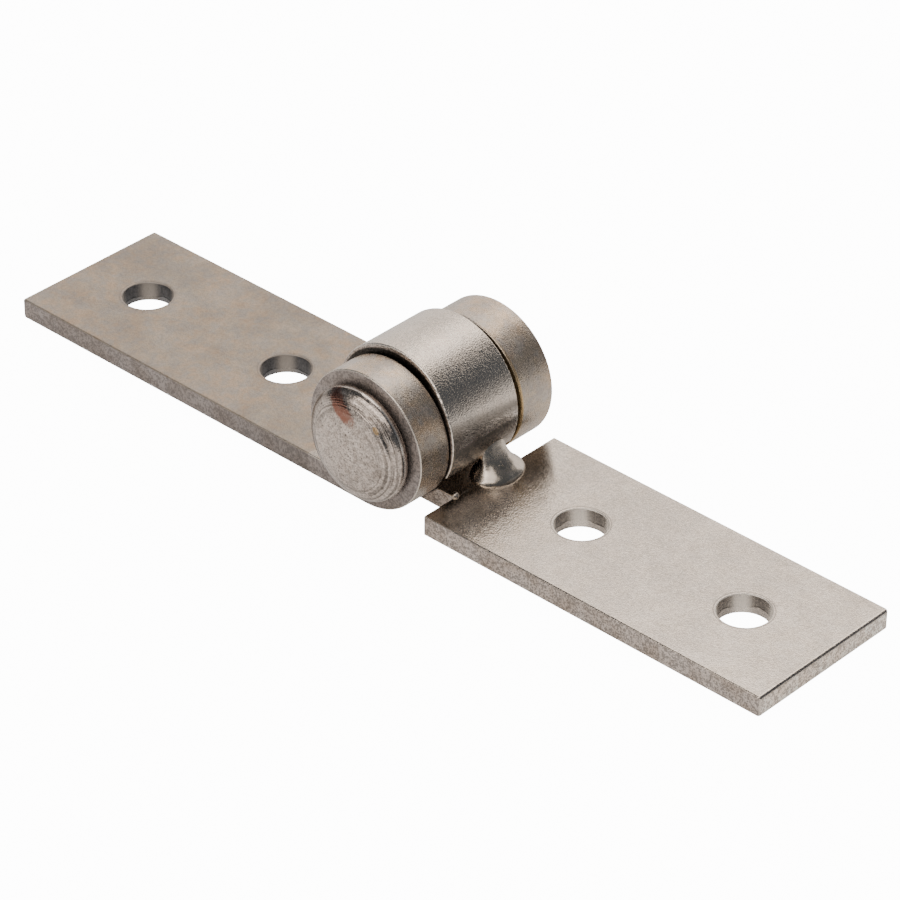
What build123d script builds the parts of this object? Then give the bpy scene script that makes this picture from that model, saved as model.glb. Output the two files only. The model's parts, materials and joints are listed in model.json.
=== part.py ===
from build123d import *
from math import asin, cos, degrees, radians, sin
import os

# Folding door hinge of two folded strip leaves, a riveted pin and one weld.
# Units are millimetres. +X runs along the open hinge, +Y away from the pin's domed head,
# +Z up. The origin is under the pin's axis, at the middle of the box that holds the part.

# Leaf strip; the length runs from the pin's axis to the leaf's end
leaf_length = 66.0
leaf_width = 25.0
leaf_thickness = 3.0
edge_radius = 0.25
end_edge_radius = 0.5

# Screw holes
hole_diameter = 7.0
hole_pitch = 27.0
outer_leaf_end_margin = 12.0
centre_leaf_end_margin = 12.9
hole_lip_radius = 0.25

# Pin
pin_diameter = 13.7
pin_fit = 0.05
head_diameter = 16.2
head_standoff = 0.45
head_rim_height = 0.65
head_dome_height = 3.0
dome_fullness = 0.55
rivet_diameter = 15.5
rivet_height = 0.8
rivet_edge_radius = 0.5

# Knuckles along the pin, from the domed head to the riveted end
front_knuckle_width = 5.3
front_knuckle_gap = 0.5
rear_knuckle_gap = 1.2
rear_knuckle_width = 6.1
centre_roll_slack = 0.6
outer_seam_gap = 0.15
centre_roll_end_angle = -28.0
outer_leaf_notch_clearance = 0.7
centre_leaf_notch_clearance = 0.5

# Weld between the centre knuckle's free end and its leaf
weld_start = 10.5
weld_foot_length = 8.0
weld_foot_shift = 0.6
weld_foot_height = 0.8
weld_neck_length = 5.0
weld_neck_width = 5.5
weld_top_length = 1.8
weld_top_width = 4.5
weld_climb = 3.2

# Places that follow from the sizes
pin_radius = pin_diameter / 2
bore_radius = pin_radius + pin_fit
outer_knuckle_radius = bore_radius + leaf_thickness
pin_height = outer_knuckle_radius
centre_knuckle_radius = outer_knuckle_radius + centre_roll_slack
head_reach = head_standoff + head_rim_height + head_dome_height
leaf_middle = (head_reach - rivet_height) / 2
leaf_front = leaf_middle - leaf_width / 2
leaf_back = leaf_middle + leaf_width / 2
centre_tongue_front = leaf_front + front_knuckle_width + front_knuckle_gap
centre_tongue_back = leaf_back - rear_knuckle_width - rear_knuckle_gap
outer_leaf_notch = centre_knuckle_radius + centre_roll_slack + outer_leaf_notch_clearance
centre_leaf_notch = outer_knuckle_radius + centre_leaf_notch_clearance
outer_seam_drop = outer_knuckle_radius - leaf_thickness - outer_seam_gap
outer_roll_sweep = 270 + degrees(asin(outer_seam_drop / outer_knuckle_radius))
centre_roll_sweep = centre_roll_end_angle - 270
free_end_reach = centre_knuckle_radius * cos(radians(centre_roll_end_angle))
free_end_height = centre_knuckle_radius * (1 + sin(radians(centre_roll_end_angle)))
mid_thickness = leaf_thickness / 2


def rolled_tongue(side, notch, front, back, roll_radius, roll_sweep):
    """One tongue that leaves the plate on the given side (-1 or 1) and rolls round the pin."""
    middle = (front + back) / 2
    start = Plane(
        origin=(side * notch, middle, mid_thickness),
        x_dir=(0, 1, 0),
        z_dir=(-side, 0, 0),
    )
    path_plane = Plane(origin=(0, middle, 0), x_dir=(1, 0, 0), z_dir=(0, -1, 0))
    with BuildPart() as tongue:
        with BuildLine(path_plane) as path:
            Line((side * notch, mid_thickness), (0, mid_thickness))
            CenterArc((0, roll_radius), roll_radius - mid_thickness, -90, roll_sweep)
        with BuildSketch(start):
            RectangleRounded(back - front, leaf_thickness, edge_radius)
        sweep(path=path.wires()[0])
    return tongue.part


def screw_hole_lips(plate):
    """Edges of the screw holes on both faces of a plate."""
    round_edges = plate.edges().filter_by(GeomType.CIRCLE)
    return round_edges.filter_by(lambda edge: edge.is_closed)


def punched_plate(side, notch, end_margin):
    """Flat stretch of a leaf from its end to the notch, with its two plain screw holes."""
    hole_middle = leaf_length - end_margin - hole_pitch / 2
    end = Plane(
        origin=(side * leaf_length, leaf_middle, mid_thickness),
        x_dir=(0, 1, 0),
        z_dir=(-side, 0, 0),
    )
    with BuildPart() as plate:
        with BuildSketch(end):
            RectangleRounded(leaf_width, leaf_thickness, edge_radius)
        extrude(amount=leaf_length - notch)
        end_face = plate.faces().sort_by(Axis.X)[0 if side < 0 else -1]
        fillet(end_face.edges(), end_edge_radius)
        with Locations((side * hole_middle, leaf_middle, leaf_thickness)):
            with GridLocations(hole_pitch, 0, 2, 1):
                Hole(hole_diameter / 2)
        fillet(screw_hole_lips(plate.part), hole_lip_radius)
    return plate.part


# Leaf with the two outer knuckles, rolled up on the far side of the pin and closed
# against its own top face
with BuildPart() as outer_knuckle_leaf:
    add(punched_plate(-1, outer_leaf_notch, outer_leaf_end_margin))
    add(rolled_tongue(
        -1, outer_leaf_notch, leaf_front, leaf_front + front_knuckle_width,
        outer_knuckle_radius, outer_roll_sweep,
    ))
    add(rolled_tongue(
        -1, outer_leaf_notch, leaf_back - rear_knuckle_width, leaf_back,
        outer_knuckle_radius, outer_roll_sweep,
    ))

# Leaf with the centre knuckle, rolled looser than the outer ones and left open
with BuildPart() as centre_knuckle_leaf:
    add(punched_plate(1, centre_leaf_notch, centre_leaf_end_margin))
    add(rolled_tongue(
        1, centre_leaf_notch, centre_tongue_front, centre_tongue_back,
        centre_knuckle_radius, centre_roll_sweep,
    ))

# Pin, turned about its own axis: full dome, thin rim, shank and flattened rivet end
pin_axis = Axis((0, 0, pin_height), (0, 1, 0))
pin_plane = Plane(origin=(0, leaf_front, pin_height), x_dir=(0, 1, 0), z_dir=(1, 0, 0))
head_rim = -head_standoff - head_rim_height
head_radius = head_diameter / 2
rivet_radius = rivet_diameter / 2
rivet_face = leaf_width + rivet_height

with BuildPart() as hinge_pin:
    with BuildSketch(pin_plane) as half_section:
        with BuildLine():
            Polyline(
                (head_rim - head_dome_height, 0),
                (rivet_face, 0),
                (rivet_face, rivet_radius),
                (leaf_width, rivet_radius),
                (leaf_width, pin_radius),
                (-head_standoff, pin_radius),
                (-head_standoff, head_radius),
                (head_rim, head_radius),
            )
            Bezier(
                (head_rim, head_radius),
                (head_rim - head_dome_height * dome_fullness, head_radius),
                (head_rim - head_dome_height, head_radius * dome_fullness),
                (head_rim - head_dome_height, 0),
            )
        make_face()
        rivet_corners = half_section.vertices().group_by(Axis.X)[-1]
        fillet(rivet_corners.sort_by(Axis.Y)[-1], rivet_edge_radius)
    revolve(axis=pin_axis)

# Weld bead: an oval foot on the leaf's top, a neck under the knuckle's free end and a top
# that thins out up the knuckle's side; what lies inside the leaf's own metal is cut away
weld_width = centre_tongue_back - leaf_front - weld_start
weld_middle = centre_tongue_back - weld_width / 2
weld_sections = (
    (0, weld_foot_shift, weld_foot_length, weld_width),
    (weld_foot_height, weld_foot_shift, weld_foot_length - weld_foot_height,
     weld_width - weld_foot_height),
    (free_end_height - leaf_thickness, 0, weld_neck_length, weld_neck_width),
    (free_end_height - leaf_thickness + weld_climb, weld_foot_shift, weld_top_length,
     weld_top_width),
)

with BuildPart() as knuckle_weld:
    for rise, shift, length, width in weld_sections:
        with BuildSketch(Plane.XY.offset(leaf_thickness + rise)):
            with Locations((free_end_reach + shift, weld_middle)):
                Ellipse(length / 2, width / 2)
    loft()
    add(centre_knuckle_leaf.part, mode=Mode.SUBTRACT)

outer_knuckle_leaf.part.label = "outer_knuckle_leaf"
centre_knuckle_leaf.part.label = "centre_knuckle_leaf"
hinge_pin.part.label = "hinge_pin"
knuckle_weld.part.label = "knuckle_weld"

os.makedirs("parts", exist_ok=True)
for piece in (outer_knuckle_leaf, centre_knuckle_leaf, hinge_pin, knuckle_weld):
    export_step(piece.part, f"parts/{piece.part.label}.step")
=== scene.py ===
"""Looks of a folding door hinge: two punched strip leaves, a riveted pin and a weld bead."""

import json
import logging
import math
import random
from contextlib import contextmanager
from dataclasses import dataclass
from enum import Enum
from typing import Callable, Iterator, Sequence

import bpy
from mathutils import Matrix, Vector, noise

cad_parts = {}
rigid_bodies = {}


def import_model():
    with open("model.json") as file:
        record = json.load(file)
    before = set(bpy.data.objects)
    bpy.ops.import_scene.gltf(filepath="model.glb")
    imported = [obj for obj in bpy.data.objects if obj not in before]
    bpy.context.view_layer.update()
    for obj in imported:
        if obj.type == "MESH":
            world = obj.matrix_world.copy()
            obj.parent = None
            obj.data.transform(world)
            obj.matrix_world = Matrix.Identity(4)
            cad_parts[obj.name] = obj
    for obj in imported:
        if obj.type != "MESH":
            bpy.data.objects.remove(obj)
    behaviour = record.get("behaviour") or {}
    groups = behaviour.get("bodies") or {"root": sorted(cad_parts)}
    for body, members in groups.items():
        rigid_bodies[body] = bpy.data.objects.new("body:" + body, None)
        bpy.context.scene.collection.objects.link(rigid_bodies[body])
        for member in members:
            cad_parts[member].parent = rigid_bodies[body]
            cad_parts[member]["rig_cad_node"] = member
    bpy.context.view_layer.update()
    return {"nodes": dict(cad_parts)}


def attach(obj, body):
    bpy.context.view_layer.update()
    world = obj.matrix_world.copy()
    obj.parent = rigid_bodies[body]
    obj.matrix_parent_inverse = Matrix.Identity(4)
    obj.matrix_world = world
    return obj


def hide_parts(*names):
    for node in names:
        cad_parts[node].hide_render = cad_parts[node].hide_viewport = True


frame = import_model()

LOG = logging.getLogger("hinge")
MM = 0.001

Colour = tuple[float, float, float]
Pair = tuple[float, float]
Piece = bpy.types.Object
Material = bpy.types.Material
Socket = bpy.types.NodeSocket


class Body(Enum):
    """The two moving bodies of the hinge."""

    OUTER = "outer_leaf"
    CENTRE = "centre_leaf"


class Slot(Enum):
    """The record's material slot names for the new pieces; this script does not use them."""

    CENTRE_LEAF = "centre_leaf_steel"
    PIN = "pin_steel"
    WELD = "weld_metal"


# ---------------------------------------------------------------- shader graph


class Value:
    """A number, vector or colour in a node tree; numbers take plain arithmetic."""

    def __init__(self, graph: "Graph", socket: Socket) -> None:
        """Keeps the socket that gives the value, and its graph."""
        self.graph, self.socket = graph, socket

    def __add__(self, other: "Number") -> "Value":
        """This plus the other."""
        return self.graph.math("ADD", self, other)

    def __radd__(self, other: float) -> "Value":
        """The other plus this."""
        return self.graph.math("ADD", other, self)

    def __sub__(self, other: "Number") -> "Value":
        """This minus the other."""
        return self.graph.math("SUBTRACT", self, other)

    def __rsub__(self, other: float) -> "Value":
        """The other minus this."""
        return self.graph.math("SUBTRACT", other, self)

    def __mul__(self, other: "Number") -> "Value":
        """This times the other."""
        return self.graph.math("MULTIPLY", self, other)

    def __truediv__(self, other: "Number") -> "Value":
        """This divided by the other."""
        return self.graph.math("DIVIDE", self, other)

    def __abs__(self) -> "Value":
        """This without its sign."""
        return self.graph.math("ABSOLUTE", self)


Number = float | Value


class Graph:
    """Short calls for building one node tree."""

    def __init__(self, tree: bpy.types.NodeTree) -> None:
        """Starts on the empty tree of a material or a group."""
        self.tree = tree
        tree.nodes.clear()

    def node(self, kind: str, **settings: object) -> bpy.types.Node:
        """Adds a node and sets its properties.

        Args:
            kind: the node's class name without the ShaderNode prefix.
            settings: properties of the node.

        Returns:
            The new node.
        """
        made = self.tree.nodes.new(kind if kind.startswith("Node") else f"ShaderNode{kind}")
        for name, value in settings.items():
            setattr(made, name, value)
        return made

    def feed(self, socket: Socket, value: object) -> None:
        """Links a socket to another one, or sets its value.

        Args:
            socket: the input.
            value: a value or socket to link, or what the input is set to.
        """
        if isinstance(value, Value):
            value = value.socket
        if isinstance(value, bpy.types.NodeSocket):
            self.tree.links.new(value, socket)
        elif isinstance(value, tuple) and len(value) == 3 and socket.type == "RGBA":
            socket.default_value = (*value, 1.0)
        else:
            socket.default_value = value

    def math(self, operation: str, a: Number, b: Number = 0.0, clamp: bool = False) -> Value:
        """One Math node.

        Args:
            operation: Blender's name of the operation.
            a: first value.
            b: second value.
            clamp: whether the result is held between 0 and 1.

        Returns:
            The result.
        """
        made = self.node("Math", operation=operation, use_clamp=clamp)
        self.feed(made.inputs[0], a)
        self.feed(made.inputs[1], b)
        return Value(self, made.outputs[0])

    def length(self, a: Value, b: Value) -> Value:
        """The length of a plane step of a and b."""
        return self.math("SQRT", a * a + b * b)

    def span(
        self, value: Number, low: Number, high: Number, to_low: Number = 0.0, to_high: Number = 1.0
    ) -> Value:
        """Maps a range smoothly onto another.

        Args:
            value: what is mapped.
            low: start of the range.
            high: end of the range.
            to_low: result at the start.
            to_high: result at the end.

        Returns:
            The mapped value.
        """
        made = self.node("MapRange", interpolation_type="SMOOTHSTEP")
        for socket, given in zip(made.inputs, (value, low, high, to_low, to_high)):
            self.feed(socket, given)
        return Value(self, made.outputs[0])

    def blend(self, amount: Number, a: object, b: object, how: str = "MIX") -> Value:
        """Mixes two colours.

        Args:
            amount: 0 for a, 1 for b.
            a: first colour.
            b: second colour.
            how: Blender's blend type.

        Returns:
            The mixed colour.
        """
        made = self.node("Mix", data_type="RGBA", blend_type=how)
        for index, given in ((0, amount), (6, a), (7, b)):
            self.feed(made.inputs[index], given)
        return Value(self, made.outputs[2])

    def shaded(self, colour: object, shade: Value) -> Value:
        """A colour made lighter or darker by a factor."""
        return self.blend(1.0, colour, self.vector(shade, shade, shade), how="MULTIPLY")

    def between(self, amount: Number, a: Number, b: Number) -> Value:
        """Mixes two numbers.

        Args:
            amount: 0 for a, 1 for b.
            a: first number.
            b: second number.

        Returns:
            The mixed number.
        """
        made = self.node("Mix", data_type="FLOAT")
        for index, given in ((0, amount), (2, a), (3, b)):
            self.feed(made.inputs[index], given)
        return Value(self, made.outputs[0])

    def parts(self, vector: object) -> list[Value]:
        """The X, Y and Z of a vector.

        Args:
            vector: the vector.

        Returns:
            Its three parts.
        """
        made = self.node("SeparateXYZ")
        self.feed(made.inputs[0], vector)
        return [Value(self, socket) for socket in made.outputs]

    def vector(self, x: Number, y: Number, z: Number) -> Value:
        """A vector of three numbers.

        Args:
            x: first part.
            y: second part.
            z: third part.

        Returns:
            The vector.
        """
        made = self.node("CombineXYZ")
        for socket, given in zip(made.inputs, (x, y, z)):
            self.feed(socket, given)
        return Value(self, made.outputs[0])

    def stretch(
        self, vector: Value, scale: Colour, turn: float = 0.0, move: Colour = (0.0, 0.0, 0.0)
    ) -> Value:
        """Scales, turns and moves pattern coordinates.

        Args:
            vector: the coordinates.
            scale: factor along each axis.
            turn: turn about Z, in degrees.
            move: shift along each axis.

        Returns:
            The new coordinates.
        """
        made = self.node("Mapping")
        self.feed(made.inputs[0], vector)
        made.inputs["Location"].default_value = move
        made.inputs["Rotation"].default_value = (0.0, 0.0, math.radians(turn))
        made.inputs["Scale"].default_value = scale
        return Value(self, made.outputs[0])

    def noise(
        self, vector: object, scale: Number, detail: float = 2.0, distortion: float = 0.0,
        rough: float = 0.5,
    ) -> Value:
        """A noise value from 0 to 1.

        Args:
            vector: pattern coordinates.
            scale: features in each metre.
            detail: number of finer layers.
            distortion: how far the pattern is warped.
            rough: strength of the finer layers.

        Returns:
            The noise value.
        """
        made = self.node("TexNoise")
        given = {"Vector": vector, "Scale": scale, "Detail": detail, "Roughness": rough}
        for name, value in {**given, "Distortion": distortion}.items():
            self.feed(made.inputs[name], value)
        return Value(self, made.outputs[0])

    def cells(self, vector: Value, scale: Number) -> Value:
        """Distance to the nearest of many scattered points.

        Args:
            vector: pattern coordinates.
            scale: points in each metre.

        Returns:
            The distance, in cells.
        """
        made = self.node("TexVoronoi")
        self.feed(made.inputs["Vector"], vector)
        self.feed(made.inputs["Scale"], scale)
        return Value(self, made.outputs["Distance"])

    def use(self, group: bpy.types.NodeTree, **inputs: object) -> dict[str, Value]:
        """Places a node group with its values, and gives its outputs by name.

        Args:
            group: the group's node tree.
            inputs: its inputs by name.

        Returns:
            The outputs by name.
        """
        made = self.node("Group", node_tree=group)
        for name, value in inputs.items():
            self.feed(made.inputs[name], value)
        return {socket.name: Value(self, socket) for socket in made.outputs}


def new_group(
    name: str, outputs: Sequence[str], vector: str = "Vector", **numbers: float
) -> tuple[Graph, list[Value], Sequence[Socket]]:
    """Starts a shader node group.

    Args:
        name: the group's name.
        outputs: names of the outputs, all plain numbers.
        vector: name of the first input, a vector.
        numbers: the other inputs, plain numbers, with their defaults.

    Returns:
        The group's graph, its inputs and the sockets of its outputs.
    """
    tree = bpy.data.node_groups.new(name, "ShaderNodeTree")
    tree.interface.new_socket(name=vector, in_out="INPUT", socket_type="NodeSocketVector")
    for socket, default in numbers.items():
        made = tree.interface.new_socket(
            name=socket, in_out="INPUT", socket_type="NodeSocketFloat"
        )
        made.default_value = default
    for socket in outputs:
        tree.interface.new_socket(name=socket, in_out="OUTPUT", socket_type="NodeSocketFloat")
    graph = Graph(tree)
    given = graph.node("NodeGroupInput").outputs[: 1 + len(numbers)]
    return graph, [Value(graph, socket) for socket in given], graph.node("NodeGroupOutput").inputs


class Effects:
    """The surface effects that more than one finish uses, each built once as a node group."""

    def __init__(self) -> None:
        """Builds every group."""
        self.grain = self._grain()
        self.mottle = self._mottle()
        self.scratches = self._scratches()
        self.around_pin = self._around_pin()
        self.edge_wear_and_highlight = self._edge_wear_and_highlight()
        self.pits = self._pits()

    def _grain(self) -> bpy.types.NodeTree:
        """Fine metal grain: a value about 0.5 with sharp little highs and lows.

        Returns:
            The group's node tree.
        """
        graph, (vector, scale, contrast), out = new_group(
            "metal_grain", ["Value"], Scale=5000.0, Contrast=1.0
        )
        fine = graph.noise(vector, scale, detail=1.0)
        coarse = graph.noise(vector, scale * 0.37, detail=2.0)
        swing = (fine * 0.6 + coarse * 0.4 - 0.5) * contrast * 2.0
        graph.feed(out["Value"], graph.math("ADD", swing, 0.5, clamp=True))
        return graph.tree

    def _mottle(self) -> bpy.types.NodeTree:
        """Cloudy stains: two independent masks, one of large and one of small blotches.

        Returns:
            The group's node tree.
        """
        graph, (vector, scale), out = new_group("stain_mottle", ["Large", "Small"], Scale=200.0)
        large = graph.noise(vector, scale, detail=5.0, distortion=0.6, rough=0.62)
        moved = graph.stretch(vector, (1.0, 1.0, 1.0), move=(0.31, 0.17, 0.05))
        small = graph.noise(moved, scale * 3.1, detail=4.0, distortion=0.3, rough=0.6)
        graph.feed(out["Large"], graph.span(large, 0.36, 0.66))
        graph.feed(out["Small"], graph.span(small, 0.34, 0.68))
        return graph.tree

    def _scratches(self) -> bpy.types.NodeTree:
        """Thin handling scratches in two crossing directions: a mask that is mostly 0.

        Returns:
            The group's node tree.
        """
        graph, (vector, scale, amount), out = new_group(
            "handling_scratches", ["Mask"], Scale=60.0, Amount=1.0
        )
        lines = []
        for turn, move in ((24.0, (0.0, 0.0, 0.0)), (-61.0, (0.2, 0.1, 0.0))):
            run = graph.stretch(vector, (1.0, 38.0, 1.0), turn=turn, move=move)
            ridge = graph.noise(run, scale, detail=1.0, distortion=0.25)
            patchy = graph.span(graph.noise(vector, scale * 2.2, detail=1.0), 0.45, 0.62)
            lines.append(graph.span(ridge, 0.735, 0.765) * patchy)
        both = graph.math("MAXIMUM", *lines)
        graph.feed(out["Mask"], graph.math("MULTIPLY", both, amount, clamp=True))
        return graph.tree

    def _around_pin(self) -> bpy.types.NodeTree:
        """Coordinates about the pin: the angle from straight up, and the way out from it.

        Returns:
            The group's node tree.
        """
        graph, (vector, height), out = new_group(
            "round_the_pin", ["Angle", "Radius"], Height=0.0115
        )
        x, _, z = graph.parts(vector)
        rise = z - height
        graph.feed(out["Angle"], graph.math("ARCTAN2", x, rise))
        graph.feed(out["Radius"], graph.length(x, rise))
        return graph.tree

    def _edge_wear_and_highlight(self) -> bpy.types.NodeTree:
        """Rounded edges by the surface's direction: 1 half way round and 0 on the two faces.

        Returns:
            The group's node tree.
        """
        graph, (normal, rolled), out = new_group(
            "edge_wear_and_highlight", ["Mask"], vector="Normal", Rolled=0.0
        )
        xx, yy, zz = (part * part for part in graph.parts(normal))
        across = graph.between(rolled, graph.math("MAXIMUM", xx, zz), xx + zz)
        flat = graph.math("MAXIMUM", yy, across)
        graph.feed(out["Mask"], graph.span(flat, 0.98, 0.6))
        return graph.tree

    def _pits(self) -> bpy.types.NodeTree:
        """Scattered small pits: 1 in the middle of a pit and 0 between pits.

        Returns:
            The group's node tree.
        """
        graph, (vector, scale, cover), out = new_group(
            "surface_pits", ["Mask"], Scale=1500.0, Cover=0.3
        )
        dot = graph.span(graph.cells(vector, scale), 0.26, 0.1)
        field = graph.noise(vector, scale * 0.16, detail=2.0)
        graph.feed(out["Mask"], dot * graph.span(field, 0.8 - cover, 0.9 - cover))
        return graph.tree


def new_material(name: str) -> tuple[Material, Graph, bpy.types.Node]:
    """Starts a material with one Principled shader.

    Args:
        name: the material's name.

    Returns:
        The material, its graph and its shader node.
    """
    material = bpy.data.materials.new(name)
    material.use_nodes = True
    graph = Graph(material.node_tree)
    shader = graph.node("BsdfPrincipled")
    graph.feed(graph.node("OutputMaterial").inputs["Surface"], shader.outputs[0])
    return material, graph, shader


def add_bump(graph: Graph, layers: Sequence[tuple[Value, float]]) -> Socket:
    """Chains Bump nodes.

    Args:
        graph: the material's graph.
        layers: each layer's height, and the depth in metres that a height of 1 stands for.

    Returns:
        The bumped normal.
    """
    normal = None
    for height, depth in layers:
        bump = graph.node("Bump")
        bump.inputs["Strength"].default_value = 1.0
        bump.inputs["Distance"].default_value = depth
        graph.feed(bump.inputs["Height"], height)
        if normal is not None:
            graph.feed(bump.inputs["Normal"], normal)
        normal = bump.outputs[0]
    return normal


# ---------------------------------------------------------------- finishes


@dataclass(frozen=True)
class Spot:
    """Where a shaded point of a strip lies, and which way its surface faces.

    The roll is measured round the pin: angle from straight up, arc along the metal, and radius.
    """

    graph: Graph
    vector: Value
    normal: Value
    x: Value
    y: Value
    z: Value
    outward: Value
    ny: Value
    nz: Value
    rolled: Value
    angle: Value
    radius: Value
    arc: Value
    off_hole: Value


@dataclass(frozen=True)
class StripFinish:
    """Rolled steel strip: stained skin, sheared sides, punched hole walls and edge wear, with
    painted highlights, painted shade and painted dark reflections.
    """

    name: str
    skin: Colour
    stain: Colour
    cloud: Colour
    sheared: Colour
    wall: Colour
    edge: Colour
    heat_tint_and_glint: Colour
    roughness: float
    sheared_roughness: float
    mottle_scale: float
    stain_share: float
    grain_scale: float
    grain_depth: float
    sheared_depth: float
    wave_depth: float
    scratch_amount: float
    streaks: float
    end_face: Colour
    knuckle_roughness: float
    blotch: float
    flare: float
    lip: Colour
    knuckle_wear_and_highlight: Colour
    metallic: float
    knuckle_painted_light: float
    speckle_depth: float
    side_speckle: float
    scorch_and_painted_dark: float
    side_darkening: float
    scrape: float
    lip_line: float
    side: int
    hole_middle: float
    hole_pitch: float = 27.0 * MM
    hole_reach: float = 3.85 * MM
    leaf_middle: float = 1.65 * MM
    knuckle_reach: float = 10.6 * MM
    pin_height: float = 9.9 * MM
    gap_reach: float = 12.2 * MM
    tint_start: float = 8.0 * MM
    tint_end: float = 8.42 * MM
    wall_depth: float = 60e-6
    flare_swing: float = 0.22 * MM
    lip_shadow: Colour = (0.09, 0.08, 0.075)
    darkening: Colour = (0.72, 0.66, 0.6)
    dark_band_lean: float = 0.0092 / MM
    dark_band_back: float = 7.6 * MM
    bead_middle: Pair = (11.0 * MM, 9.5 * MM)
    scrape_arc: float = 15.54 * MM
    scrape_lean: float = 0.089
    scrape_start: float = 9.2 * MM
    scrape_end: float = 12.4 * MM

    def build(self, effects: Effects) -> Material:
        """Makes the material.

        Args:
            effects: the shared surface effects.

        Returns:
            The finished material.
        """
        material, graph, shader = new_material(self.name)
        at = self._spot(graph, effects)
        skin_vector = self._skin_vector(at)
        sheared, hole = self._sheared(at), self._hole(at)
        skinned = 1.0 - sheared
        edge = graph.use(effects.edge_wear_and_highlight, Normal=at.normal, Rolled=at.rolled)["Mask"]
        grain, coarse = (
            graph.use(effects.grain, Vector=at.vector, Scale=scale, Contrast=contrast)["Value"]
            for scale, contrast in ((self.grain_scale, 1.6), (self.grain_scale * 0.68, 2.4))
        )
        mottle = graph.use(effects.mottle, Vector=skin_vector, Scale=self.mottle_scale)
        scratch = graph.use(
            effects.scratches, Vector=skin_vector, Scale=55.0, Amount=self.scratch_amount
        )["Mask"]
        streak = self._streaks(at)
        near_hole = graph.span(at.off_hole, self.hole_reach + 0.1 * MM, self.hole_reach)
        # the hole lips: burnished metal, painted near white as a highlight
        lip_burnish_and_highlight = near_hole * edge * 0.9
        wear_and_highlight = self._wear_and_highlight_mask(at, edge, near_hole)
        wall, wall_height, wall_rough = self._wall(at, coarse)

        skin = self._skin_colour(at, skin_vector, mottle, grain)
        colour = graph.blend(scratch * 0.35, skin, self.edge)
        for amount, over in (
            (sheared, self._side_colour(at, coarse)),
            (hole, wall),
            # knuckle edges: wear and a painted highlight
            (wear_and_highlight, graph.blend(at.rolled, self.edge, self.knuckle_wear_and_highlight)),
            (lip_burnish_and_highlight, self.lip),
            (self._lip_line(at), self.lip_shadow),
            # straw line on the knuckle's edge: heat tinting and a painted golden glint
            (self._heat_and_glint_mask(at), self.heat_tint_and_glint),
            (self._scrape_mark(at), self.lip),
        ):
            colour = graph.blend(amount, colour, over)
        graph.feed(shader.inputs["Base Color"], colour)
        graph.feed(shader.inputs["Metallic"], graph.between(lip_burnish_and_highlight, self.metallic, 0.35))

        base = graph.between(at.rolled, self.roughness - 0.05, self.knuckle_roughness - 0.05)
        rough = mottle["Small"] * 0.05 + grain * 0.05 + streak * -0.04 + base
        for amount, over in (
            (sheared, self.sheared_roughness),
            (hole, wall_rough),
            (wear_and_highlight, graph.between(at.rolled, self.roughness, 0.26)),
            (lip_burnish_and_highlight, 0.5),
        ):
            rough = graph.between(amount, rough, over)
        graph.feed(shader.inputs["Roughness"], rough)

        speckle = self._speckle(at) * skinned * graph.between(at.rolled, 0.35, 1.0)
        layers = [
            (graph.noise(skin_vector, 260.0, detail=2.0) * skinned, self.wave_depth),
            (streak * at.rolled, self.grain_depth * 2.0),
            (grain * skinned, self.grain_depth),
            (speckle, self.speckle_depth),
            (coarse * sheared, self.sheared_depth),
            (scratch * -1.0, self.grain_depth),
            (wall_height * hole, self.wall_depth),
        ]
        graph.feed(shader.inputs["Normal"], add_bump(graph, layers))
        return material

    def _spot(self, graph: Graph, effects: Effects) -> Spot:
        """Reads where the shaded point lies.

        Args:
            graph: the material's graph.
            effects: the shared surface effects.

        Returns:
            The shaded point.
        """
        place = graph.node("TexCoord").outputs
        vector, normal = (Value(graph, place[name]) for name in ("Object", "Normal"))
        x, y, z = graph.parts(vector)
        nx, ny, nz = graph.parts(normal)
        rolled = graph.span(abs(x), self.knuckle_reach, self.knuckle_reach - 0.2 * MM)
        ring = graph.use(effects.around_pin, Vector=vector, Height=self.pin_height)
        angle, radius = ring["Angle"], ring["Radius"]
        arc = angle * self.pin_height
        across = abs(x - self.side * self.hole_middle) - self.hole_pitch / 2
        off_hole = graph.length(across, y - self.leaf_middle)
        outward = nx * float(self.side)
        return Spot(
            graph, vector, normal, x, y, z, outward, ny, nz, rolled, angle, radius, arc, off_hole
        )

    def _skin_vector(self, at: Spot) -> Value:
        """Pattern coordinates that run on from the flat leaf round its knuckle.

        Args:
            at: the shaded point.

        Returns:
            The coordinates.
        """
        unrolled = at.graph.vector(at.arc, at.y, at.radius)
        mixed = at.graph.node("Mix", data_type="VECTOR")
        for index, given in ((0, at.rolled), (4, at.vector), (5, unrolled)):
            at.graph.feed(mixed.inputs[index], given)
        return Value(at.graph, mixed.outputs[1])

    def _sheared(self, at: Spot) -> Value:
        """The strip's sheared sides: 1 on its long sides, its end and the knuckles' end faces.

        Args:
            at: the shaded point.

        Returns:
            The mask.
        """
        long_side = at.graph.span(abs(at.ny), 0.75, 0.95)
        flat_end = at.graph.span(at.outward, 0.75, 0.95) * (1.0 - at.rolled)
        return at.graph.math("MAXIMUM", long_side, flat_end)

    def _hole(self, at: Spot) -> Value:
        """The walls of the two screw holes."""
        near = at.graph.span(at.off_hole, self.hole_reach, self.hole_reach - 0.1 * MM)
        return near * at.graph.span(abs(at.nz), 0.6, 0.3)

    def _lip_line(self, at: Spot) -> Value:
        """A thin dark line just outside the lips of the screw holes."""
        off_lip = abs(at.off_hole - (self.hole_reach + 0.03 * MM))
        return at.graph.span(off_lip, 0.13 * MM, 0.04 * MM) * self.lip_line

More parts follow.
